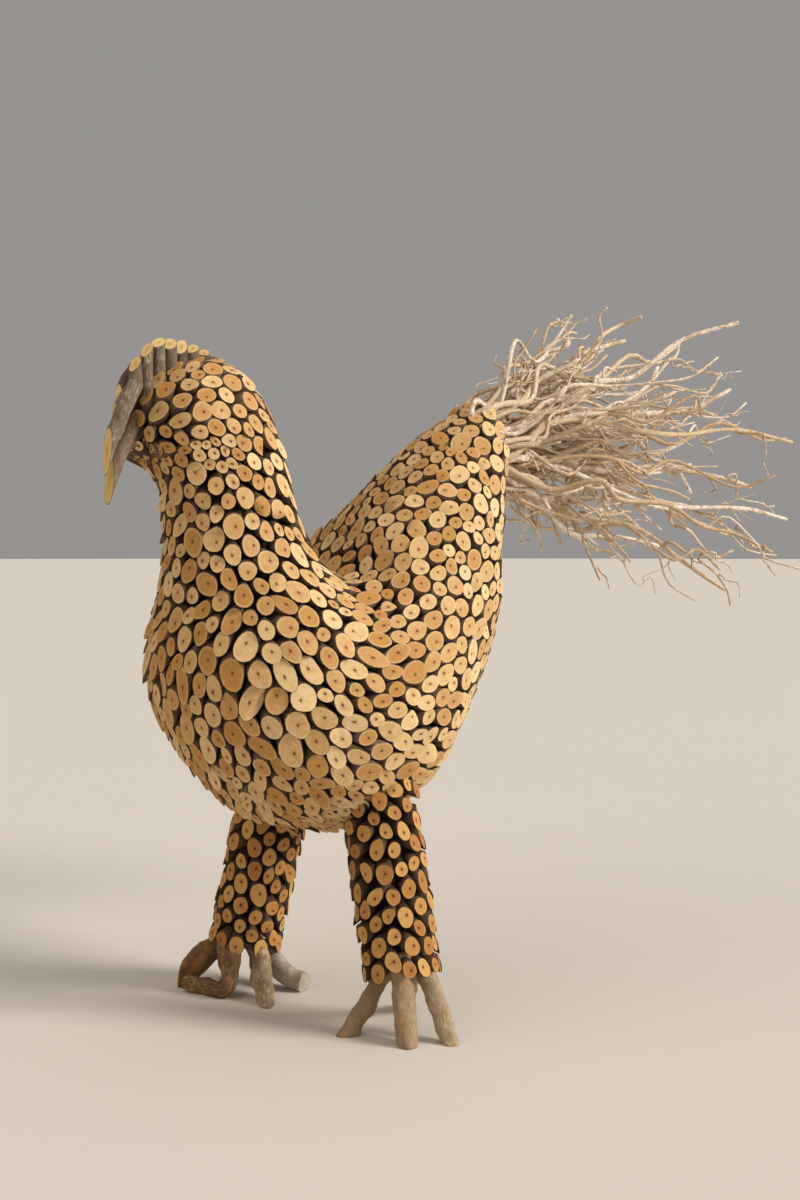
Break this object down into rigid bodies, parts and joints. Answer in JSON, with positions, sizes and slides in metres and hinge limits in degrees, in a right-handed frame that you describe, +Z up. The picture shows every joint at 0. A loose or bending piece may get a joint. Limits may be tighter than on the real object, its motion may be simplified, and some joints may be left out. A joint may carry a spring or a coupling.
{
  "type": "twig rooster sculpture",
  "caption": "Standing rooster built of sawn twigs: body and legs clad in round twig ends, comb and beak of slanting twigs, branching toes and a brushwood tail.",
  "frame": {"origin": "on the surface that the feet stand on, below the middle of the whole length and width", "axes": "+Z up, the bird looks along -Y, its tail points along +Y and its left side is +X"},
  "size_m": [0.2918, 0.7016, 0.558],
  "materials": {
    "sawn_ends": "matte sawn end grain",
    "leg_ends": "matte sawn end grain",
    "toe_bark": "rough weathered bark",
    "comb_bark": "thin grey bark",
    "beak_bark": "thin grey bark",
    "driftwood": "bleached bare twigs"
  },
  "bodies": {
    "root": {"body": "sawn_ends", "left_leg": "leg_ends", "right_leg": "leg_ends", "left_toe_inner": "toe_bark", "left_toe_middle": "toe_bark", "left_toe_outer": "toe_bark", "left_toe_hind": "toe_bark", "right_toe_outer": "toe_bark", "right_toe_front": "toe_bark", "right_toe_inner": "toe_bark", "right_toe_hind": "toe_bark", "comb_twig_1": "comb_bark", "comb_twig_2": "comb_bark", "comb_twig_3": "comb_bark", "comb_twig_4": "comb_bark", "comb_twig_5": "comb_bark", "comb_twig_6": "comb_bark", "comb_twig_7": "comb_bark", "beak_upper": "beak_bark", "beak_lower": "beak_bark", "beak_side_1": "beak_bark", "beak_side_2": "beak_bark", "tail_twig_01": "driftwood", "tail_twig_02": "driftwood", "tail_twig_03": "driftwood", "tail_twig_04": "driftwood", "tail_twig_05": "driftwood", "tail_twig_06": "driftwood", "tail_twig_07": "driftwood", "tail_twig_08": "driftwood", "tail_twig_09": "driftwood", "tail_twig_10": "driftwood", "tail_twig_11": "driftwood", "tail_twig_12": "driftwood", "tail_twig_13": "driftwood", "tail_twig_14": "driftwood", "tail_twig_15": "driftwood", "tail_twig_16": "driftwood", "tail_twig_17": "driftwood", "tail_twig_18": "driftwood", "tail_twig_19": "driftwood", "tail_twig_20": "driftwood", "tail_twig_21": "driftwood", "tail_twig_22": "driftwood", "tail_twig_23": "driftwood", "tail_twig_24": "driftwood", "tail_twig_25": "driftwood", "tail_twig_26": "driftwood"}
  },
  "joints": []
}
